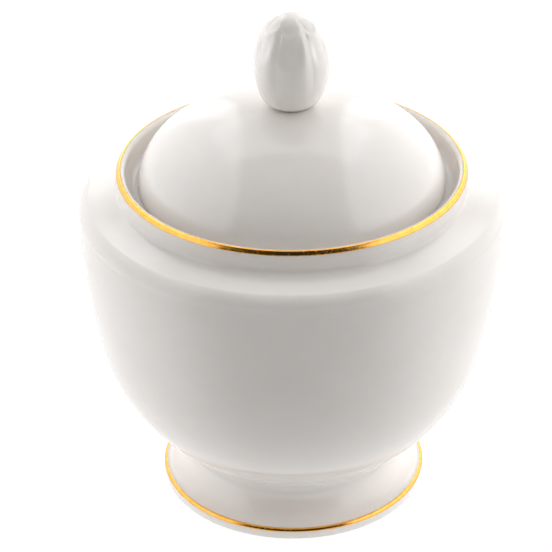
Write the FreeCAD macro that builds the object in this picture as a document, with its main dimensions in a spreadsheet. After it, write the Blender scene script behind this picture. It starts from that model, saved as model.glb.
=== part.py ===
"""Lidded porcelain sugar bowl on a pedestal foot, modelled in millimetres.

The object is round about the Z axis. It stands on z = 0 with its axis on the origin and the knob at the top.
Two pieces come apart: the bowl (body, pedestal foot and their two gilt bands) and the lid (shell and knob).
Every shape is an outline in radius and height that is turned about the Z axis.
"""
import FreeCAD, Part
import math
import os
import re

import Sketcher

# Driving dimensions: lengths in millimetres, angles in degrees, heights measured from the table.
SIZES = {
    # neck and rounded lip, with the gilt band let into the lip
    "neck_radius": 43.7,
    "lip_round": 1.1,
    "lip_height": 88.8,
    "gilt_depth": 0.3,
    "rim_gilt_from": 8,
    "rim_gilt_to": 94,
    "neck_fillet": 0.9,
    # sloping shoulder, down to the soft crease above the belly
    "shoulder_slope": 15,
    "shoulder_radius": 53.4,
    "shoulder_round": 3.6,
    "shoulder_height": 79.2,
    "crease_height": 78.4,
    # belly: three arcs, wide near the top and tighter towards the foot, then the hollow of the waist
    "belly_height": 74.2,
    "upper_belly_curve": 58,
    "upper_belly_end": 70.3,
    "middle_belly_curve": 176,
    "middle_belly_end": 42.8,
    "lower_belly_curve": 48.9,
    "lower_belly_end": 13.6,
    "waist_radius": 27.4,
    "bond_height": 9.45,
    "underside_height": 9.95,
    # inside of the bowl: gallery ledge, mouth, and the inner face of the wall
    "gallery_height": 84.6,
    "gallery_curve": 3,
    "mouth_radius": 35.6,
    "mouth_round": 0.6,
    "mouth_depth": 2.8,
    "inner_shoulder_start": 46.8,
    "inner_shoulder_height": 79.6,
    "inner_shoulder_radius": 50.1,
    "inner_shoulder_end": 76.2,
    "inner_upper_curve": 55,
    "inner_middle_curve": 173,
    "inner_lower_curve": 45.9,
    "inner_lower_end": 18,
    "floor_radius": 16.5,
    "floor_height": 13,
    # pedestal foot
    "foot_radius": 34.2,
    "foot_round": 0.8,
    "foot_edge_height": 2.2,
    "foot_flare_curve": 6.35,
    "foot_wall": 3,
    "foot_base_round": 0.5,
    "foot_inner_radius": 30.9,
    # lid: flange that rests on the gallery, locating skirt, and the dome's three arcs
    "lid_radius": 38.1,
    "lid_edge_round": 0.6,
    "dome_height": 85.8,
    "dome_edge_curve": 13.53,
    "dome_edge_end": 95.6,
    "dome_side_curve": 33.7,
    "dome_side_end": 101.7,
    "dome_top_curve": 58.7,
    "land_height": 107,
    "skirt_radius": 34.9,
    "skirt_round": 1.2,
    "skirt_height": 80.9,
    "vault_spring": 87.5,
    "vault_edge_curve": 10.36,
    "vault_edge_end": 96.4,
    "vault_curve": 53.4,
    "vault_height": 103.8,
    "vent_radius": 1.25,
    # knob: hollow egg-shaped bud with panelled sides
    "knob_seat_radius": 4.2,
    "knob_bottom_curve": 4.02,
    "knob_bottom_radius": 7.27,
    "knob_bottom_height": 109,
    "knob_lower_curve": 16.5,
    "knob_radius": 9.45,
    "knob_height": 117.2,
    "knob_upper_curve": 19,
    "knob_cap_start": 127.5,
    "knob_wall": 3.2,
    "knob_cavity_start": 110.3,
    "knob_cavity_curve": 7.3,
    "knob_cavity_side_curve": 15.5,
    "knob_cavity_cap_start": 123.8,
    "petal_count": 6,
    "petal_distance": 8.75,
    "petal_bottom": 106,
    "petal_shoulder": 121,
    "petal_tip_radius": 4.2,
    "petal_top": 131.4,
    "petal_cut_width": 14,
}

doc = FreeCAD.newDocument("SugarBowl")
sheet = doc.addObject("Spreadsheet::Sheet", "Sizes")
for row, (alias, number) in enumerate(SIZES.items(), start=1):
    sheet.set(f"A{row}", alias)
    sheet.set(f"B{row}", str(number))
    sheet.setAlias(f"B{row}", alias)
doc.recompute()

START, END, CENTRE = 1, 2, 3  # the points of an edge, by number
ORIGIN, RADIUS_AXIS, HEIGHT_AXIS = -1, -1, -2  # the outline's origin point and its two axes, by number
LEFT, RIGHT = 1, -1  # the way an arc turns when it is followed from its start


def bound(text):
    """Spell out where each size in a formula is kept."""
    return re.sub(r"[a-z_]+", lambda word: f"Sizes.{word[0]}" if word[0] in SIZES else word[0], text)


def value(text):
    """The number that a formula of sizes gives."""
    return float(sheet.evalExpression(bound(text)))


def on_circle(radius, height, curve, angle):
    """Formulas for the radius and height of a point on a round of the outline."""
    return f"{radius} + ({curve}) * cos({angle})", f"{height} + ({curve}) * sin({angle})"


class Outline:
    """An outline on one origin plane of a body, drawn as paths of lines and arcs."""

    def __init__(self, body, name, plane="XZ_Plane"):
        self.sketch = body.newObject("Sketcher::SketchObject", name)
        support = next(item for item in body.Origin.OriginFeatures if item.Role == plane)
        self.sketch.AttachmentSupport = [(support, "")]
        self.sketch.MapMode = "FlatFace"

    def constrain(self, *terms, formula=None):
        """Add one constraint, whose size follows a formula when it has one."""
        if formula is None:
            self.sketch.addConstraint(Sketcher.Constraint(*terms))
            return
        index = self.sketch.addConstraint(Sketcher.Constraint(*terms, value(formula)))
        self.sketch.renameConstraint(index, f"size_{index}")
        self.sketch.setExpression(f"Constraints.size_{index}", bound(formula))

    def fix(self, edge, point, radius=None, height=None):
        """Hold a point of an edge at a radius, at a height, or both."""
        if radius == "0":
            self.constrain("PointOnObject", edge, point, HEIGHT_AXIS)
        elif radius is not None:
            self.constrain("DistanceX", ORIGIN, START, edge, point, formula=radius)
        if height == "0":
            self.constrain("PointOnObject", edge, point, RADIUS_AXIS)
        elif height is not None:
            self.constrain("DistanceY", ORIGIN, START, edge, point, formula=height)


class Path:
    """An open run of lines and arcs in an outline, each starting where the one before it ends."""

    def __init__(self, outline, radius, height):
        self.outline = outline
        self.here = FreeCAD.Vector(value(radius), value(height), 0)
        self.first = (radius, height)
        self.edges = []
        self.heading = None

    def _add(self, curve, entry, leave, end, heading, tangent=False):
        edge = self.outline.sketch.addGeometry(curve, False)
        if self.edges:
            last, _, last_point = self.edges[-1]
            kind = "Tangent" if tangent else "Coincident"
            self.outline.constrain(kind, last, last_point, edge, entry)
        self.edges.append((edge, entry, leave))
        self.here = end
        self.heading = heading
        return edge

    def _arc(self, centre, turn, end, tangent=False):
        start = self.here
        circle = Part.Circle(centre, FreeCAD.Vector(0, 0, 1), (start - centre).Length)
        first, last = (start, end) if turn == LEFT else (end, start)
        begin = math.atan2(first.y - centre.y, first.x - centre.x)
        finish = math.atan2(last.y - centre.y, last.x - centre.x)
        if finish <= begin:
            finish += 2 * math.pi
        entry, leave = (START, END) if turn == LEFT else (END, START)
        spoke = end - centre
        heading = FreeCAD.Vector(-spoke.y, spoke.x, 0) * turn
        curve = Part.ArcOfCircle(circle, begin, finish)
        return self._add(curve, entry, leave, end, heading.normalize(), tangent)

    def hold_start(self):
        """Fix the point where the path begins."""
        edge, entry, _ = self.edges[0]
        self.outline.fix(edge, entry, *self.first)

    def line(self, radius, height):
        """A straight edge to a given point."""
        end = FreeCAD.Vector(value(radius), value(height), 0)
        heading = (end - self.here).normalize()
        edge = self._add(Part.LineSegment(self.here, end), START, END, end, heading)
        self.outline.fix(edge, END, radius, height)

    def arc(self, curve, turn, radius, height):
        """An arc of a given curve, at most half a circle, to a given point."""
        end = FreeCAD.Vector(value(radius), value(height), 0)
        chord = end - self.here
        side = FreeCAD.Vector(-chord.y, chord.x, 0).normalize() * turn
        reach = math.sqrt(max(value(curve) ** 2 - (chord.Length / 2) ** 2, 0))
        edge = self._arc(self.here + chord * 0.5 + side * reach, turn, end)
        self.outline.fix(edge, self.edges[-1][2], radius, height)
        self.outline.constrain("Radius", edge, formula=curve)

    def _at_height(self, centre, curve, turn, height):
        """The point of a circle at a height that is reached first along the turn."""
        half = math.sqrt(curve ** 2 - (height - centre.y) ** 2)
        start = math.atan2(self.here.y - centre.y, self.here.x - centre.x)

        def sweep(point):
            angle = math.atan2(point.y - centre.y, point.x - centre.x)
            return ((angle - start) * turn) % (2 * math.pi)

        sides = [FreeCAD.Vector(centre.x + half, height, 0), FreeCAD.Vector(centre.x - half, height, 0)]
        return min(sides, key=sweep)

    def swing(self, curve, turn, centre_height, height):
        """An arc whose centre is at one height and whose end is at another."""
        size = value(curve)
        rise = value(centre_height) - self.here.y
        reach = math.sqrt(size ** 2 - rise ** 2)
        centre = FreeCAD.Vector(self.here.x - reach, value(centre_height), 0)
        end = self._at_height(centre, size, turn, value(height))
        edge = self._arc(centre, turn, end)
        self.outline.fix(edge, CENTRE, height=centre_height)
        self.outline.fix(edge, self.edges[-1][2], height=height)
        self.outline.constrain("Radius", edge, formula=curve)

    def bend(self, curve, turn, height):
        """An arc that carries on smoothly from the edge before it and ends at a height."""
        side = FreeCAD.Vector(-self.heading.y, self.heading.x, 0) * turn
        centre = self.here + side * value(curve)
        end = self._at_height(centre, value(curve), turn, value(height))
        edge = self._arc(centre, turn, end, tangent=True)
        self.outline.fix(edge, self.edges[-1][2], height=height)
        self.outline.constrain("Radius", edge, formula=curve)

    def cap(self, turn):
        """A smooth arc, centred on the Z axis, that closes the outline at the axis."""
        side = FreeCAD.Vector(-self.heading.y, self.heading.x, 0) * turn
        size = -self.here.x / side.x
        centre = self.here + side * size
        edge = self._arc(centre, turn, FreeCAD.Vector(0, centre.y + size, 0), tangent=True)
        self.outline.constrain("PointOnObject", edge, CENTRE, HEIGHT_AXIS)
        self.outline.fix(edge, self.edges[-1][2], radius="0")

    def reach(self, turn, radius, height):
        """An arc that carries on smoothly from the edge before it to a given point."""
        side = FreeCAD.Vector(-self.heading.y, self.heading.x, 0) * turn
        end = FreeCAD.Vector(value(radius), value(height), 0)
        chord = end - self.here
        size = chord.Length ** 2 / (2 * chord.dot(side))
        edge = self._arc(self.here + side * size, turn, end, tangent=True)
        self.outline.fix(edge, self.edges[-1][2], radius, height)

    def _join(self, end, edge, point):
        """Draw the last straight edge, to a point that another edge already holds."""
        last = self._add(Part.LineSegment(self.here, end), START, END, end, self.heading)
        self.outline.constrain("Coincident", last, END, edge, point)

    def close(self):
        """End the path with a straight edge back to its own start."""
        edge, entry, _ = self.edges[0]
        start = FreeCAD.Vector(value(self.first[0]), value(self.first[1]), 0)
        self._join(start, edge, entry)

    def meet(self, other):
        """Start this path where another starts, and end it with a straight edge to the other's end."""
        edge, entry, _ = self.edges[0]
        other_edge, other_entry, _ = other.edges[0]
        self.outline.constrain("Coincident", edge, entry, other_edge, other_entry)
        last, _, leave = other.edges[-1]
        self._join(other.here, last, leave)


def turned(body, outline):
    """Turn an outline about the Z axis into the body's solid."""
    solid = body.newObject("PartDesign::Revolution", body.Name + "_turned")
    solid.Profile = outline.sketch
    solid.ReferenceAxis = (outline.sketch, ["V_Axis"])
    solid.Angle = 360
    outline.sketch.Visibility = False
    return solid


def new_body(name):
    body = doc.addObject("PartDesign::Body", name)
    body.Label = name
    return body


# Formulas that more than one outline uses.
LIP_CENTRE = ("neck_radius - lip_round", "lip_height")
LIP_GILT_ROUND = "lip_round - gilt_depth"
THROAT_RADIUS = "neck_radius - 2 * lip_round"
FOOT_GILT_ROUND = "foot_round - gilt_depth"
FOOT_EDGE_RADIUS = "foot_radius - foot_round"
FOOT_EDGE_TOP = "foot_edge_height + foot_round"


def make_bowl_body():
    """The bowl: rounded lip, neck, sloping shoulder, full belly and the gallery ledge that carries the lid."""
    body = new_body("bowl_body")
    outline = Outline(body, "bowl_outline")
    slope = "shoulder_slope"
    cone_top_radius = f"neck_radius + neck_fillet * (1 - sin({slope}))"
    cone_end_radius = f"shoulder_radius - shoulder_round * (1 - sin({slope}))"
    cone_end_height = f"shoulder_height + shoulder_round * cos({slope})"
    cone_top_height = f"{cone_end_height} + ({cone_end_radius} - ({cone_top_radius})) * tan({slope})"
    crease_drop = "sqrt(shoulder_round ^ 2 - (shoulder_height - crease_height) ^ 2)"

    outer = Path(outline, "neck_radius", "lip_height")
    outer.line("neck_radius", f"{cone_top_height} + neck_fillet * cos({slope})")
    outer.arc("neck_fillet", LEFT, cone_top_radius, cone_top_height)
    outer.line(cone_end_radius, cone_end_height)
    outer.arc("shoulder_round", RIGHT, f"shoulder_radius - shoulder_round + {crease_drop}", "crease_height")
    outer.swing("upper_belly_curve", RIGHT, "belly_height", "upper_belly_end")
    outer.bend("middle_belly_curve", RIGHT, "middle_belly_end")
    outer.bend("lower_belly_curve", RIGHT, "lower_belly_end")
    outer.reach(LEFT, "waist_radius", "bond_height")
    outer.line("waist_radius - foot_wall", "bond_height")
    outer.line("waist_radius - foot_wall", "underside_height")
    outer.line("0", "underside_height")
    outer.line("0", "floor_height")
    outer.hold_start()

    inner = Path(outline, "neck_radius", "lip_height")
    inner.arc("lip_round", LEFT, *on_circle(*LIP_CENTRE, "lip_round", "rim_gilt_from"))
    inner.line(*on_circle(*LIP_CENTRE, LIP_GILT_ROUND, "rim_gilt_from"))
    inner.arc(LIP_GILT_ROUND, LEFT, *on_circle(*LIP_CENTRE, LIP_GILT_ROUND, "rim_gilt_to"))
    inner.line(*on_circle(*LIP_CENTRE, "lip_round", "rim_gilt_to"))
    inner.arc("lip_round", LEFT, THROAT_RADIUS, "lip_height")
    inner.line(THROAT_RADIUS, "gallery_height + gallery_curve")
    inner.arc("gallery_curve", RIGHT, f"{THROAT_RADIUS} - gallery_curve", "gallery_height")
    inner.line("mouth_radius + mouth_round", "gallery_height")
    inner.arc("mouth_round", LEFT, "mouth_radius", "gallery_height - mouth_round")
    inner.line("mouth_radius", "gallery_height - mouth_depth + mouth_round")
    inner.arc("mouth_round", LEFT, "mouth_radius + mouth_round", "gallery_height - mouth_depth")
    inner.line("inner_shoulder_start", "inner_shoulder_height")
    inner.reach(RIGHT, "inner_shoulder_radius", "inner_shoulder_end")
    inner.swing("inner_upper_curve", RIGHT, "belly_height", "upper_belly_end")
    inner.bend("inner_middle_curve", RIGHT, "middle_belly_end")
    inner.bend("inner_lower_curve", RIGHT, "inner_lower_end")
    inner.reach(RIGHT, "floor_radius", "floor_height")
    inner.meet(outer)
    turned(body, outline)
    return body


def make_rim_gilt_band():
    """The gold line that lies flush in the outer half of the lip's round."""
    body = new_body("rim_gilt_band")
    outline = Outline(body, "rim_gilt_outline")
    path = Path(outline, *on_circle(*LIP_CENTRE, "lip_round", "rim_gilt_from"))
    path.arc("lip_round", LEFT, *on_circle(*LIP_CENTRE, "lip_round", "rim_gilt_to"))
    path.line(*on_circle(*LIP_CENTRE, LIP_GILT_ROUND, "rim_gilt_to"))
    path.arc(LIP_GILT_ROUND, RIGHT, *on_circle(*LIP_CENTRE, LIP_GILT_ROUND, "rim_gilt_from"))
    path.close()
    path.hold_start()
    turned(body, outline)
    return body


def make_pedestal_foot():
    """The hollow flared foot, bonded to the bowl at the waist and standing on a ground ring."""
    body = new_body("pedestal_foot")
    outline = Outline(body, "foot_outline")
    path = Path(outline, "waist_radius", "bond_height")
    path.arc("foot_flare_curve", LEFT, FOOT_EDGE_RADIUS, FOOT_EDGE_TOP)
    path.line(FOOT_EDGE_RADIUS, f"{FOOT_EDGE_TOP} - gilt_depth")
    path.arc(FOOT_GILT_ROUND, RIGHT, "foot_radius - gilt_depth", "foot_edge_height")
    path.line("foot_radius", "foot_edge_height")
    path.line("foot_radius", "foot_base_round")
    path.arc("foot_base_round", RIGHT, "foot_radius - foot_base_round", "0")
    path.line("foot_inner_radius + foot_base_round", "0")
    path.arc("foot_base_round", RIGHT, "foot_inner_radius", "foot_base_round")
    path.arc("foot_flare_curve + foot_wall", RIGHT, "waist_radius - foot_wall", "bond_height")
    path.close()
    path.hold_start()
    turned(body, outline)
    return body


def make_foot_gilt_band():
    """The gold line that lies flush in the rounded edge of the foot."""
    body = new_body("foot_gilt_band")
    outline = Outline(body, "foot_gilt_outline")
    path = Path(outline, FOOT_EDGE_RADIUS, FOOT_EDGE_TOP)
    path.arc("foot_round", RIGHT, "foot_radius", "foot_edge_height")
    path.line("foot_radius - gilt_depth", "foot_edge_height")
    path.arc(FOOT_GILT_ROUND, LEFT, FOOT_EDGE_RADIUS, f"{FOOT_EDGE_TOP} - gilt_depth")
    path.close()
    path.hold_start()
    turned(body, outline)
    return body


def make_lid_shell():
    """The domed lid, with a flange that rests on the gallery and a skirt that keeps it centred in the mouth."""
    body = new_body("lid_shell")
    outline = Outline(body, "lid_outline")
    outer = Path(outline, "lid_radius - lid_edge_round", "gallery_height")
    outer.arc("lid_edge_round", LEFT, "lid_radius", "gallery_height + lid_edge_round")
    outer.line("lid_radius", "dome_height")
    outer.swing("dome_edge_curve", LEFT, "dome_height", "dome_edge_end")
    outer.bend("dome_side_curve", LEFT, "dome_side_end")
    outer.bend("dome_top_curve", LEFT, "land_height")
    outer.line("vent_radius", "land_height")
    outer.line("vent_radius", "vault_height")
    outer.hold_start()

    inner = Path(outline, "lid_radius - lid_edge_round", "gallery_height")
    inner.line("skirt_radius", "gallery_height")
    inner.line("skirt_radius", "skirt_height")
    inner.arc("skirt_round", RIGHT, "skirt_radius - skirt_round", "skirt_height - skirt_round")
    inner.arc("skirt_round", RIGHT, "skirt_radius - 2 * skirt_round", "skirt_height")
    inner.line("skirt_radius - 2 * skirt_round", "vault_spring")
    inner.swing("vault_edge_curve", LEFT, "vault_spring", "vault_edge_end")
    inner.bend("vault_curve", LEFT, "vault_height")
    inner.meet(outer)
    turned(body, outline)
    return body


def make_lid_knob():
    """The hollow bud-shaped knob: a turned egg with flat panels round it and a vent through its base."""
    body = new_body("lid_knob")
    outline = Outline(body, "knob_outline")
    outer = Path(outline, "vent_radius", "land_height")
    outer.line("knob_seat_radius", "land_height")
    outer.arc("knob_bottom_curve", LEFT, "knob_bottom_radius", "knob_bottom_height")
    outer.arc("knob_lower_curve", LEFT, "knob_radius", "knob_height")
    outer.swing("knob_upper_curve", LEFT, "knob_height", "knob_cap_start")
    outer.cap(LEFT)
    outer.hold_start()

    inner = Path(outline, "vent_radius", "land_height")
    inner.line("vent_radius", "knob_cavity_start")
    inner.arc("knob_cavity_curve", LEFT, "knob_radius - knob_wall", "knob_height")
    inner.swing("knob_cavity_side_curve", LEFT, "knob_height", "knob_cavity_cap_start")
    inner.cap(LEFT)
    inner.meet(outer)
    turned(body, outline)
    cut_petals(body)
    return body


def cut_petals(body):
    """Flat panels round the knob, each with an upright face below and a sloping one above."""
    panel = Outline(body, "petal_outline", plane="YZ_Plane")
    clear_radius = "knob_radius + 1"
    path = Path(panel, "petal_distance", "petal_bottom")
    path.line("petal_distance", "petal_shoulder")
    path.line("petal_tip_radius", "petal_top")
    path.line(clear_radius, "petal_top")
    path.line(clear_radius, "petal_bottom")
    path.close()
    path.hold_start()
    doc.recompute()
    uncut = body.Shape.Volume

    pocket = body.newObject("PartDesign::Pocket", "petal_panel")
    pocket.Profile = panel.sketch
    pocket.Midplane = True
    pocket.setExpression("Length", bound("petal_cut_width"))
    panel.sketch.Visibility = False
    doc.recompute()
    if body.Shape.Volume >= uncut:
        raise RuntimeError("the petal panel cuts nothing")

    ring = body.newObject("PartDesign::PolarPattern", "petal_ring")
    ring.Originals = [pocket]
    ring.Axis = (next(item for item in body.Origin.OriginFeatures if item.Role == "Z_Axis"), [""])
    ring.Angle = 360
    ring.setExpression("Occurrences", bound("petal_count"))
    body.Tip = ring


def check(bodies):
    """Stop unless every step of the model worked and every sub-part is one valid solid."""
    failed = [item.Name for item in doc.Objects if {"Invalid", "Error"} & set(item.State)]
    if failed:
        raise RuntimeError(f"objects in error: {failed}")
    for body in bodies:
        shape = body.Shape
        if shape.isNull() or not shape.isValid() or len(shape.Solids) != 1:
            raise RuntimeError(f"{body.Label} isn't one valid solid")
        box = shape.optimalBoundingBox()
        print(f"{body.Label}: {shape.Volume / 1000:.3f} cm3, z {box.ZMin:.2f} to {box.ZMax:.2f},"
              f" width {box.XLength:.2f}")


BODIES = [
    make_bowl_body(),
    make_rim_gilt_band(),
    make_pedestal_foot(),
    make_foot_gilt_band(),
    make_lid_shell(),
    make_lid_knob(),
]
doc.recompute()
check(BODIES)
os.makedirs("parts", exist_ok=True)
for sub_part in BODIES:
    sub_part.Shape.exportStep(os.path.join("parts", sub_part.Label + ".step"))
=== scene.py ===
"""Looks of a lidded porcelain sugar bowl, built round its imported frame.

The frame gives the bodies that the pieces ride on. Outlines are in millimetres of radius and height, because
that is how a potter's profile is read, and become metres when they are turned.
"""

import math

import bmesh
import bpy
from mathutils import Matrix, Vector


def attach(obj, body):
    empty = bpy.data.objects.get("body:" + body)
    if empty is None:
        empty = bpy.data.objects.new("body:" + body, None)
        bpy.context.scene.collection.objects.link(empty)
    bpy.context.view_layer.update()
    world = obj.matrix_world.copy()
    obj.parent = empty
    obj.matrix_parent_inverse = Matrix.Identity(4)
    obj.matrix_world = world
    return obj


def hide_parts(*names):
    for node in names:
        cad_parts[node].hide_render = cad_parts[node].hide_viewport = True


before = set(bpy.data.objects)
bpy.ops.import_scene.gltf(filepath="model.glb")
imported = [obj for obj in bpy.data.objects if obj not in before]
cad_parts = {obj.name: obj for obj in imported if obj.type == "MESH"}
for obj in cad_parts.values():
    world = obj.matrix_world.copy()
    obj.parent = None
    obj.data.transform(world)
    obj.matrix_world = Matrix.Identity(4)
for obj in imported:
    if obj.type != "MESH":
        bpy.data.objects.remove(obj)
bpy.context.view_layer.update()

MM = 0.001
LEFT, RIGHT = 1, -1  # the way an arc turns when it is followed from its start
GLAZED, BARE = 0, 1  # the two materials of a piece: under the glaze, and where the glaze was wiped off
SEGMENTS = 240  # steps round the axis of a turned piece
ON_AXIS = 1e-6  # a point nearer to the axis than this is on it
CREASE = math.radians(50)  # a sharper fold in a carved piece keeps its edge


# ---------------------------------------------------------------- outlines and turned meshes

class Outline:
    """A run of lines and arcs in radius and height, walked with the solid on its left.

    It ends where it begins, or it begins and ends on the axis. longest is the longest step of its mesh, in
    millimetres.
    """

    ARC_STEP = math.radians(4)  # the most that one step of an arc turns

    def __init__(self, radius, height, longest=1.6):
        self.longest = longest
        self.here = Vector((radius, height))
        self.points = [self.here]
        self.spans = []  # for each step: the normals at its two ends, and its material

    def _step(self, end, start_normal, end_normal, material):
        self.points.append(end)
        self.spans.append((start_normal, end_normal, material))
        self.here = end

    def line(self, radius, height, material=GLAZED):
        """A straight edge to a given point."""
        start, end = self.here, Vector((radius, height))
        run = end - start
        normal = Vector((run.y, -run.x)).normalized()
        steps = max(1, math.ceil(run.length / self.longest))
        for step in range(1, steps + 1):
            self._step(start.lerp(end, step / steps), normal, normal, material)

    def arc(self, curve, turn, radius, height, material=GLAZED):
        """An arc of a given curve to a given point, at most half a circle."""
        start, end = self.here, Vector((radius, height))
        chord = end - start
        side = Vector((-chord.y, chord.x)).normalized() * turn
        centre = start + chord / 2 + side * math.sqrt(max(curve ** 2 - (chord.length / 2) ** 2, 0))
        sweep = 2 * math.asin(min(chord.length / 2 / curve, 1))
        steps = max(2, math.ceil(sweep / self.ARC_STEP), math.ceil(curve * sweep / self.longest))
        begin = math.atan2(start.y - centre.y, start.x - centre.x)
        angles = [begin + turn * sweep * step / steps for step in range(steps + 1)]
        spokes = [Vector((math.cos(angle), math.sin(angle))) for angle in angles]
        for before, after in zip(spokes, spokes[1:]):
            self._step(centre + after * curve, before * turn, after * turn, material)


def turned(name, outline, body, node, materials, relief=None):
    """Turn an outline about the Z axis into a closed mesh that stands for a node of the frame.

    relief(point, angle) raises the outside along its normal, in millimetres, where a piece isn't round. A round
    piece gets the exact normals of its outline instead of ones averaged over its faces.
    """
    mesh = bpy.data.meshes.new(name)
    work = bmesh.new()
    rings = []
    closed = outline.points[0] == outline.points[-1]
    points = outline.points[:-1] if closed else outline.points
    angles = [2 * math.pi * step / SEGMENTS for step in range(SEGMENTS)]
    for index, point in enumerate(points):
        if point.x < ON_AXIS:
            rings.append([work.verts.new((0, 0, point.y * MM))])
            continue
        normal = outline.spans[min(index, len(outline.spans) - 1)][0]
        ring = []
        for angle in angles:
            place = point + normal * relief(point, angle) if relief and normal.x > 0 else point
            across, along = place.x * math.cos(angle) * MM, place.x * math.sin(angle) * MM
            ring.append(work.verts.new((across, along, place.y * MM)))
        rings.append(ring)
    if closed:
        rings.append(rings[0])

    corners = []
    for lower, upper, (lower_normal, upper_normal, material) in zip(rings, rings[1:], outline.spans):
        for step in range(SEGMENTS):
            ahead = (step + 1) % SEGMENTS
            if len(lower) == 1:
                loop = [(lower[0], lower_normal, step), (upper[ahead], upper_normal, ahead),
                        (upper[step], upper_normal, step)]
            elif len(upper) == 1:
                loop = [(lower[step], lower_normal, step), (lower[ahead], lower_normal, ahead),
                        (upper[0], upper_normal, step)]
            else:
                loop = [(lower[step], lower_normal, step), (lower[ahead], lower_normal, ahead),
                        (upper[ahead], upper_normal, ahead), (upper[step], upper_normal, step)]
            face = work.faces.new([vert for vert, _, _ in loop])
            face.material_index = material
            face.smooth = True
            corners += [(normal.x * math.cos(angles[at]), normal.x * math.sin(angles[at]), normal.y)
                        for _, normal, at in loop]
    work.to_mesh(mesh)
    work.free()
    if relief:
        mesh.set_sharp_from_angle(angle=CREASE)
    else:
        mesh.normals_split_custom_set(corners)
    for material in materials:
        mesh.materials.append(material)
    piece = bpy.data.objects.new(name, mesh)
    bpy.context.scene.collection.objects.link(piece)
    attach(piece, body)
    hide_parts(node)


# ---------------------------------------------------------------- materials

class Nodes:
    """Short names for the nodes of one material."""

    def __init__(self, name):
        self.material = bpy.data.materials.new(name)
        self.material.use_nodes = True
        self.tree = self.material.node_tree
        self.shader = self.tree.nodes["Principled BSDF"]
        self.place = self.tree.nodes.new("ShaderNodeTexCoord").outputs["Object"]

    def set(self, socket, value):
        self.shader.inputs[socket].default_value = value

    def feed(self, output, socket):
        self.tree.links.new(output, self.shader.inputs[socket])

    def noise(self, size, detail=2.0, rough=0.5):
        """Noise whose features are about size millimetres across."""
        node = self.tree.nodes.new("ShaderNodeTexNoise")
        node.inputs["Scale"].default_value = 1 / (size * MM)
        node.inputs["Detail"].default_value = detail
        node.inputs["Roughness"].default_value = rough
        self.tree.links.new(self.place, node.inputs["Vector"])
        return node.outputs["Fac"]

    def dots(self, size, radius):
        """1 in small dots scattered about size millimetres apart, 0 between them."""
        node = self.tree.nodes.new("ShaderNodeTexVoronoi")
        node.inputs["Scale"].default_value = 1 / (size * MM)
        self.tree.links.new(self.place, node.inputs["Vector"])
        return self.ramp(node.outputs["Distance"], radius / size * 0.6, radius / size, 1, 0)

    def ramp(self, value, from_low, from_high, to_low, to_high):
        """A value carried smoothly from one range to another, and held at its ends."""
        node = self.tree.nodes.new("ShaderNodeMapRange")
        node.interpolation_type = "SMOOTHSTEP"
        for socket, number in zip(("From Min", "From Max", "To Min", "To Max"),
                                  (from_low, from_high, to_low, to_high)):
            node.inputs[socket].default_value = number
        self.tree.links.new(value, node.inputs["Value"])
        return node.outputs["Result"]

    def math(self, operation, first, second):
        """Arithmetic on two numbers or outputs."""
        node = self.tree.nodes.new("ShaderNodeMath")
        node.operation = operation
        for index, value in enumerate((first, second)):
            if isinstance(value, (int, float)):
                node.inputs[index].default_value = value
            else:
                self.tree.links.new(value, node.inputs[index])
        return node.outputs[0]

    def blend(self, share, first, second):
        """A colour between two others."""
        node = self.tree.nodes.new("ShaderNodeMix")
        node.data_type = "RGBA"
        self.tree.links.new(share, node.inputs["Factor"])
        for socket, value in zip(("A", "B"), (first, second)):
            target = next(item for item in node.inputs if item.name == socket and item.type == "RGBA")
            if isinstance(value, tuple):
                target.default_value = (*value, 1)
            else:
                self.tree.links.new(value, target)
        return next(item for item in node.outputs if item.type == "RGBA")

    def bump(self, height, strength, depth):
        """Bump of a given depth in millimetres."""
        node = self.tree.nodes.new("ShaderNodeBump")
        node.inputs["Strength"].default_value = strength
        node.inputs["Distance"].default_value = depth * MM
        self.tree.links.new(height, node.inputs["Height"])
        self.feed(node.outputs["Normal"], "Normal")


def glazed_porcelain():
    """White porcelain under a clear, very slightly warm glaze, with faint mottling, ripple and pinholes."""
    nodes = Nodes("glazed_porcelain")
    mottle = nodes.ramp(nodes.noise(26, 3), 0.35, 0.65, 0, 1)
    tone = nodes.blend(mottle, (0.86, 0.82, 0.785), (0.885, 0.848, 0.815))
    cloud = nodes.ramp(nodes.noise(7, 4, 0.6), 0.52, 0.78, 0, 0.35)
    tone = nodes.blend(cloud, tone, (0.84, 0.81, 0.78))
    speck = nodes.dots(5.5, 0.13)
    nodes.feed(nodes.blend(nodes.math("MULTIPLY", speck, 0.55), tone, (0.52, 0.45, 0.36)), "Base Color")
    smear = nodes.noise(11, 5, 0.65)
    nodes.feed(nodes.ramp(smear, 0.3, 0.75, 0.10, 0.17), "Roughness")
    ripple = nodes.math("ADD", nodes.noise(3.4, 2), nodes.math("MULTIPLY", nodes.noise(0.9, 2), 0.18))
    nodes.bump(nodes.math("SUBTRACT", ripple, nodes.math("MULTIPLY", speck, 0.25)), 0.35, 0.035)
    nodes.set("IOR", 1.52)
    nodes.set("Subsurface Weight", 0.35)
    nodes.set("Subsurface Radius", (1.0, 0.85, 0.7))
    nodes.set("Subsurface Scale", 2.2 * MM)
    return nodes.material


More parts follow.
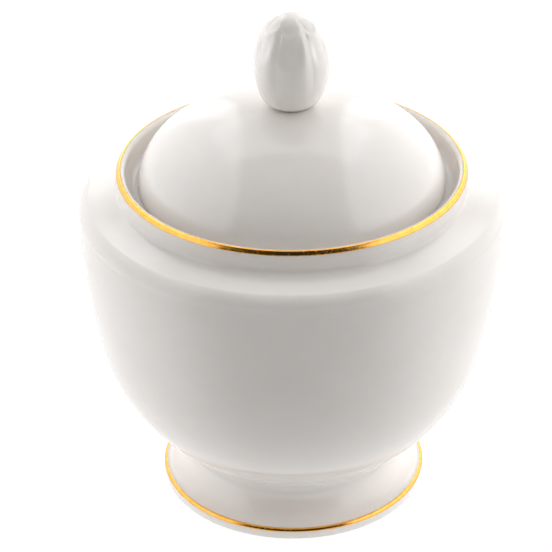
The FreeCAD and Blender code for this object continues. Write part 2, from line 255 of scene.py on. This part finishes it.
def bare_porcelain():
    """Unglazed fired porcelain, matt and finely grained, as on a ground ring or a lid seat."""
    nodes = Nodes("bare_porcelain")
    grain = nodes.ramp(nodes.noise(2.2, 5, 0.6), 0.3, 0.7, 0, 1)
    tone = nodes.blend(grain, (0.74, 0.71, 0.66), (0.83, 0.80, 0.75))
    worn = nodes.ramp(nodes.noise(5, 4, 0.7), 0.55, 0.72, 0, 0.5)
    nodes.feed(nodes.blend(worn, tone, (0.56, 0.53, 0.49)), "Base Color")
    nodes.feed(nodes.ramp(nodes.noise(1.2, 3), 0.3, 0.7, 0.62, 0.8), "Roughness")
    nodes.bump(nodes.noise(0.35, 4, 0.7), 0.6, 0.04)
    return nodes.material


def gold_lustre():
    """Thin burnished gold, laid by brush: uneven in tone and gloss, and a little rubbed in places."""
    nodes = Nodes("gold_lustre")
    patchy = nodes.ramp(nodes.noise(1.6, 4, 0.6), 0.3, 0.7, 0, 1)
    tone = nodes.blend(patchy, (0.84, 0.40, 0.07), (0.93, 0.48, 0.11))
    rubbed = nodes.ramp(nodes.noise(6, 4, 0.65), 0.6, 0.74, 0, 0.55)
    nodes.feed(nodes.blend(rubbed, tone, (0.74, 0.33, 0.06)), "Base Color")
    nodes.feed(nodes.ramp(nodes.noise(0.8, 3), 0.3, 0.7, 0.16, 0.28), "Roughness")
    nodes.bump(nodes.noise(0.5, 3), 0.3, 0.02)
    nodes.set("Metallic", 1.0)
    return nodes.material


PORCELAIN = glazed_porcelain()
BISCUIT = bare_porcelain()
GOLD = gold_lustre()


# ---------------------------------------------------------------- the bowl

LIP_RADIUS, LIP_HEIGHT, LIP_ROUND = 42.6, 88.8, 1.1  # centre and round of the lip
NECK_RADIUS, THROAT_RADIUS = LIP_RADIUS + LIP_ROUND, LIP_RADIUS - LIP_ROUND  # outside and inside of the neck
GILT_DEPTH = 0.3  # thickness of the gold, let into the porcelain
RIM_GILT = (math.radians(8), math.radians(94))  # where the gold starts and ends on the lip's round
RIM_GROOVE = LIP_ROUND - GILT_DEPTH  # round of the groove that the gold fills
GALLERY, GALLERY_CURVE = 84.6, 3  # height of the ledge under the lid, and its curve up to the neck
MOUTH_RADIUS, MOUTH_ROUND, MOUTH_BOTTOM = 35.6, 0.6, 81.8
UNDERSIDE, INNER_FLOOR = 9.95, 13  # heights of the bowl's two floors
BOND, BOND_INSIDE, WAIST = 9.45, 24.4, 27.4  # the joint between bowl and foot: its height and its two radii
FOOT_RADIUS, FOOT_EDGE, FOOT_ROUND = 34.2, 2.2, 0.8  # the foot's edge: where its gold starts, and its round
FOOT_TOP = FOOT_EDGE + FOOT_ROUND
BASE_ROUND = 0.5  # round of the ground ring's two edges


def on_lip(curve, angle):
    """A point of the lip's round."""
    return LIP_RADIUS + curve * math.cos(angle), LIP_HEIGHT + curve * math.sin(angle)


def make_bowl():
    """Underside, waist, belly, shoulder and neck on the outside; gallery, mouth and floor on the inside."""
    shape = Outline(0, UNDERSIDE)
    shape.line(BOND_INSIDE, UNDERSIDE)
    shape.line(BOND_INSIDE, BOND)
    shape.line(WAIST, BOND)
    shape.arc(5.04, RIGHT, 29.56, 13.6)
    shape.arc(48.9, LEFT, 49.28, 42.8)
    shape.arc(176, LEFT, 53.33, 70.3)
    shape.arc(58, LEFT, 53.31, 78.4)
    shape.arc(3.6, LEFT, 50.73, 82.68)
    shape.line(44.37, 84.38)
    shape.arc(0.9, RIGHT, NECK_RADIUS, 85.25)
    shape.line(NECK_RADIUS, LIP_HEIGHT)
    start, end = RIM_GILT
    shape.arc(LIP_ROUND, LEFT, *on_lip(LIP_ROUND, start))
    shape.line(*on_lip(RIM_GROOVE, start))
    shape.arc(RIM_GROOVE, LEFT, *on_lip(RIM_GROOVE, end))
    shape.line(*on_lip(LIP_ROUND, end))
    shape.arc(LIP_ROUND, LEFT, THROAT_RADIUS, LIP_HEIGHT)
    shape.line(THROAT_RADIUS, GALLERY + GALLERY_CURVE)
    shape.arc(GALLERY_CURVE, RIGHT, THROAT_RADIUS - GALLERY_CURVE, GALLERY)
    shape.line(MOUTH_RADIUS + MOUTH_ROUND, GALLERY, BARE)
    shape.arc(MOUTH_ROUND, LEFT, MOUTH_RADIUS, GALLERY - MOUTH_ROUND, BARE)
    shape.line(MOUTH_RADIUS, MOUTH_BOTTOM + MOUTH_ROUND)
    shape.arc(MOUTH_ROUND, LEFT, MOUTH_RADIUS + MOUTH_ROUND, MOUTH_BOTTOM)
    shape.line(46.8, 79.6)
    shape.arc(3.55, RIGHT, 50.1, 76.2)
    shape.arc(55, RIGHT, 50.0, 70.3)
    shape.arc(173, RIGHT, 45.8, 42.8)
    shape.arc(45.9, RIGHT, 30.4, 18)
    shape.arc(17.7, RIGHT, 16.5, INNER_FLOOR)
    shape.line(0, INNER_FLOOR)
    turned("porcelain_bowl", shape, "bowl", "bowl_body", [PORCELAIN, BISCUIT])


def make_rim_gilt():
    """The gold line in the lip's round."""
    start, end = RIM_GILT
    shape = Outline(*on_lip(RIM_GROOVE, start))
    shape.line(*on_lip(LIP_ROUND, start))
    shape.arc(LIP_ROUND, LEFT, *on_lip(LIP_ROUND, end))
    shape.line(*on_lip(RIM_GROOVE, end))
    shape.arc(RIM_GROOVE, RIGHT, *on_lip(RIM_GROOVE, start))
    turned("rim_gold_line", shape, "bowl", "rim_gilt_band", [GOLD])


def make_foot():
    """Hollow flared foot with a bare ground ring, its top let into the bowl so that no light gets through."""
    inside, let_in = 30.9, BOND + 0.3
    shape = Outline(BOND_INSIDE, BOND)
    shape.arc(9.35, LEFT, inside, BASE_ROUND)
    shape.arc(BASE_ROUND, LEFT, inside + BASE_ROUND, 0, BARE)
    shape.line(FOOT_RADIUS - BASE_ROUND, 0, BARE)
    shape.arc(BASE_ROUND, LEFT, FOOT_RADIUS, BASE_ROUND, BARE)
    shape.line(FOOT_RADIUS, FOOT_EDGE)
    shape.line(FOOT_RADIUS - GILT_DEPTH, FOOT_EDGE)
    shape.arc(FOOT_ROUND - GILT_DEPTH, LEFT, FOOT_RADIUS - FOOT_ROUND, FOOT_TOP - GILT_DEPTH)
    shape.line(FOOT_RADIUS - FOOT_ROUND, FOOT_TOP)
    shape.arc(6.35, RIGHT, WAIST, BOND)
    shape.line(WAIST - 0.4, let_in)
    shape.line(BOND_INSIDE + 0.4, let_in)
    shape.line(BOND_INSIDE, BOND)
    turned("porcelain_foot", shape, "bowl", "pedestal_foot", [PORCELAIN, BISCUIT])


def make_foot_gilt():
    """The gold line on the foot's rounded edge."""
    shape = Outline(FOOT_RADIUS - GILT_DEPTH, FOOT_EDGE)
    shape.line(FOOT_RADIUS, FOOT_EDGE)
    shape.arc(FOOT_ROUND, LEFT, FOOT_RADIUS - FOOT_ROUND, FOOT_TOP)
    shape.line(FOOT_RADIUS - FOOT_ROUND, FOOT_TOP - GILT_DEPTH)
    shape.arc(FOOT_ROUND - GILT_DEPTH, RIGHT, FOOT_RADIUS - GILT_DEPTH, FOOT_EDGE)
    turned("foot_gold_line", shape, "bowl", "foot_gilt_band", [GOLD])


# ---------------------------------------------------------------- the lid

LAND = 107  # height of the joint between the lid and its knob
VENT = 1.25  # radius of the kiln vent through lid and knob
VAULT_TOP, VAULT_SPRING = 103.8, 87.5  # heights where the vault ends and where its wall is upright
SKIRT_INSIDE, SKIRT_ROUND, SKIRT_OUTSIDE, SKIRT_BOTTOM = 32.5, 1.2, 34.9, 79.7
LID_RADIUS, LID_ROUND = 38.1, 0.6  # the flange on the gallery, and the round of its lower edge

PETAL_SPAN = 60  # degrees from one petal of the knob to the next
PETAL_TURN = 112  # degrees that turn the ring of petals about the axis
PETAL_TUCK, PETAL_ROLL = -22, 20  # degrees from a petal's middle to its tucked and its rolled edge
PETAL_DEPTH, HOLLOW_DEPTH, WHORL_DEPTH, LIP_LIFT = 0.42, 0.5, 0.22, 0.12  # relief of the carving


def make_lid():
    """Dome outside, vault inside, a flange for the gallery and a skirt for the mouth."""
    shape = Outline(VENT, VAULT_TOP)
    shape.line(3.82, VAULT_TOP)
    shape.arc(53.4, RIGHT, 27.44, 96.4)
    shape.arc(10.36, RIGHT, SKIRT_INSIDE, VAULT_SPRING)
    shape.line(SKIRT_INSIDE, SKIRT_BOTTOM + SKIRT_ROUND)
    shape.arc(SKIRT_ROUND, LEFT, SKIRT_INSIDE + SKIRT_ROUND, SKIRT_BOTTOM)
    shape.arc(SKIRT_ROUND, LEFT, SKIRT_OUTSIDE, SKIRT_BOTTOM + SKIRT_ROUND)
    shape.line(SKIRT_OUTSIDE, GALLERY)
    shape.line(LID_RADIUS - LID_ROUND, GALLERY, BARE)
    shape.arc(LID_ROUND, LEFT, LID_RADIUS, GALLERY + LID_ROUND)
    shape.line(LID_RADIUS, 85.8)
    shape.arc(13.53, LEFT, 33.9, 95.6)
    shape.arc(33.7, LEFT, 25.01, 101.7)
    shape.arc(58.7, LEFT, 5.83, LAND)
    shape.line(VENT, LAND)
    shape.line(VENT, VAULT_TOP)
    turned("porcelain_lid", shape, "lid", "lid_shell", [PORCELAIN, BISCUIT])


def smooth(value, low, high):
    """0 below low, 1 above high, and an S-shaped slope between."""
    share = min(max((value - low) / (high - low), 0), 1)
    return share * share * (3 - 2 * share)


def swell(value, centre, width):
    """A rounded hump of height 1."""
    return math.exp(-((value - centre) / width) ** 2)


def petals(point, angle):
    """Carving of the rosebud: six petals, each tucked under its neighbour's rolled edge, round a whorl."""
    across = (math.degrees(angle) + PETAL_TURN) % PETAL_SPAN + PETAL_TUCK  # degrees from the petal's middle
    if across < PETAL_ROLL:
        rise = smooth(across, PETAL_TUCK - 12, PETAL_ROLL) ** 1.2
    else:
        rise = 0.5 + 0.5 * math.cos(math.pi * (across - PETAL_ROLL) / (PETAL_SPAN + PETAL_TUCK - PETAL_ROLL))
    height = point.y
    tip = 127.2 + 0.0022 * (across + 4) ** 2  # the upper edge of the petal, dipped like a heart
    carve = -PETAL_DEPTH * (1 - rise) * smooth(height, 109, 120) * smooth(point.x, 1, 7.5)
    inner = 1 - smooth(across, 10, 26)  # 1 inside the petal, 0 on its rolled edge
    carve -= HOLLOW_DEPTH * inner * swell(height, tip - 4.0, 2.6) * smooth(across, -24, -8)
    carve += LIP_LIFT * inner * swell(height, tip - 0.2, 0.8)
    return carve - WHORL_DEPTH * smooth(height, tip, tip + 1.2) * (1 - smooth(height, 128.6, 130.2))


def make_knob():
    """Hollow egg, carved as a rosebud, with its kiln vent."""
    shape = Outline(0, 126.83, longest=0.34)
    shape.arc(5.28, RIGHT, 4.78, 123.8)
    shape.arc(15.5, RIGHT, 6.25, 117.2)
    shape.arc(7.3, RIGHT, VENT, 110.3)
    shape.line(VENT, LAND)
    shape.line(4.2, LAND)
    shape.arc(4.02, LEFT, 7.27, 109)
    shape.arc(16.5, LEFT, 9.45, 117.2)
    shape.arc(19, LEFT, 6.42, 127.5)
    shape.arc(7.64, LEFT, 0, 130.99)
    turned("porcelain_knob", shape, "lid", "lid_knob", [PORCELAIN, BISCUIT], relief=petals)


make_bowl()
make_rim_gilt()
make_foot()
make_foot_gilt()
make_lid()
make_knob()


# ---------------------------------------------------------------- stage, lights and camera

SHADE_POOL_CENTRE, SHADE_POOL_INNER, SHADE_POOL_OUTER = (0, -0.34, 0), 0.235, 0.302  # a painted shade: a dim round of the table's glow in front of the bowl, which darkens the light on the bowl's front
SHADE_POOL_GLOW, TABLE_GLOW = 0.3, 0.9  # how bright the table glows in the middle of the painted shade and outside it
SOFTBOXES = (  # name, centre, the way it faces, width, height, radiance, shape
    ("left_softbox", (-1.5, 2.7, 0.6), (1, 0, 0), 8.25, 7.2, 1.45, "ELLIPSE"),
    ("right_softbox", (1.5, 2.7, 0.6), (-1, 0, 0), 8.25, 7.2, 1.75, "ELLIPSE"),
    ("rear_fill", (0, 1.6, 0.45), (0, -1, 0), 1.3, 1.8, 1.15, "RECTANGLE"),
    ("top_fill", (0, 0.85, 1.2), (0, -0.58, -0.82), 1.3, 0.8, 1.4, "RECTANGLE"),
)
CAMERA_PLACE, CAMERA_LENS = (0, -0.5579, 0.3886), 166.05
YAW, PITCH, ROLL = math.radians(-0.43), math.radians(30.67), math.radians(-0.56)


def make_floor():
    """A wide pale table, lit from within so that it stays white, with a painted shade in front of the bowl: a
    soft dim pool in its glow.
    """
    bpy.ops.mesh.primitive_plane_add(size=6, location=(0, 0, 0))
    floor = bpy.context.object
    floor.name = "floor"
    table = Nodes("pale_table")
    table.set("Base Color", (0.12, 0.12, 0.12, 1))
    table.set("Roughness", 0.6)
    table.set("Emission Color", (1, 1, 1, 1))
    shade_pool = table.tree.nodes.new("ShaderNodeVectorMath")
    shade_pool.operation = "DISTANCE"
    shade_pool.inputs[1].default_value = SHADE_POOL_CENTRE
    table.tree.links.new(table.place, shade_pool.inputs[0])
    # painted shade: the glow dims to a pool in front of the bowl, darkening the light on the bowl's front, and
    # from behind it looks like a cast shadow
    glow = table.ramp(shade_pool.outputs["Value"], SHADE_POOL_INNER, SHADE_POOL_OUTER, SHADE_POOL_GLOW, TABLE_GLOW)
    table.feed(glow, "Emission Strength")
    floor.data.materials.append(table.material)


def softbox(name, centre, facing, width, height, radiance, shape):
    """A flat soft lamp that faces along an axis, with the same brightness all over its face."""
    lamp = bpy.data.lights.new(name, "AREA")
    lamp.shape = shape
    lamp.size, lamp.size_y = width, height
    area = width * height * (math.pi / 4 if shape == "ELLIPSE" else 1)
    lamp.energy = radiance * math.pi * area
    light = bpy.data.objects.new(name, lamp)
    bpy.context.scene.collection.objects.link(light)
    light.location = centre
    light.rotation_euler = Vector(facing).to_track_quat("-Z", "Y").to_euler()
    light.visible_camera = False


def make_lights():
    """Two broad oval softboxes beside and behind the bowl, weaker ones behind and above it, and a dim room."""
    for row in SOFTBOXES:
        softbox(*row)
    world = bpy.data.worlds.new("studio")
    bpy.context.scene.world = world
    world.use_nodes = True
    room = world.node_tree.nodes["Background"]
    room.inputs["Color"].default_value = (1, 0.985, 0.965, 1)
    room.inputs["Strength"].default_value = 0.03
    bpy.context.scene.view_settings.view_transform = "Standard"


def make_camera():
    """The viewpoint: in front, about 31 degrees up, turned and rolled by a fraction of a degree."""
    forward = Vector((math.sin(YAW) * math.cos(PITCH), math.cos(YAW) * math.cos(PITCH), -math.sin(PITCH)))
    level = Vector((math.cos(YAW), -math.sin(YAW), 0))
    upright = level.cross(forward)
    right = level * math.cos(ROLL) + upright * math.sin(ROLL)
    up = upright * math.cos(ROLL) - level * math.sin(ROLL)
    data = bpy.data.cameras.new("camera")
    data.lens = CAMERA_LENS
    data.clip_start = 0.01
    camera = bpy.data.objects.new("camera", data)
    bpy.context.scene.collection.objects.link(camera)
    turn = Matrix((right, up, -forward)).transposed().to_4x4()
    camera.matrix_world = Matrix.Translation(CAMERA_PLACE) @ turn
    bpy.context.scene.camera = camera


make_floor()
make_lights()
make_camera()
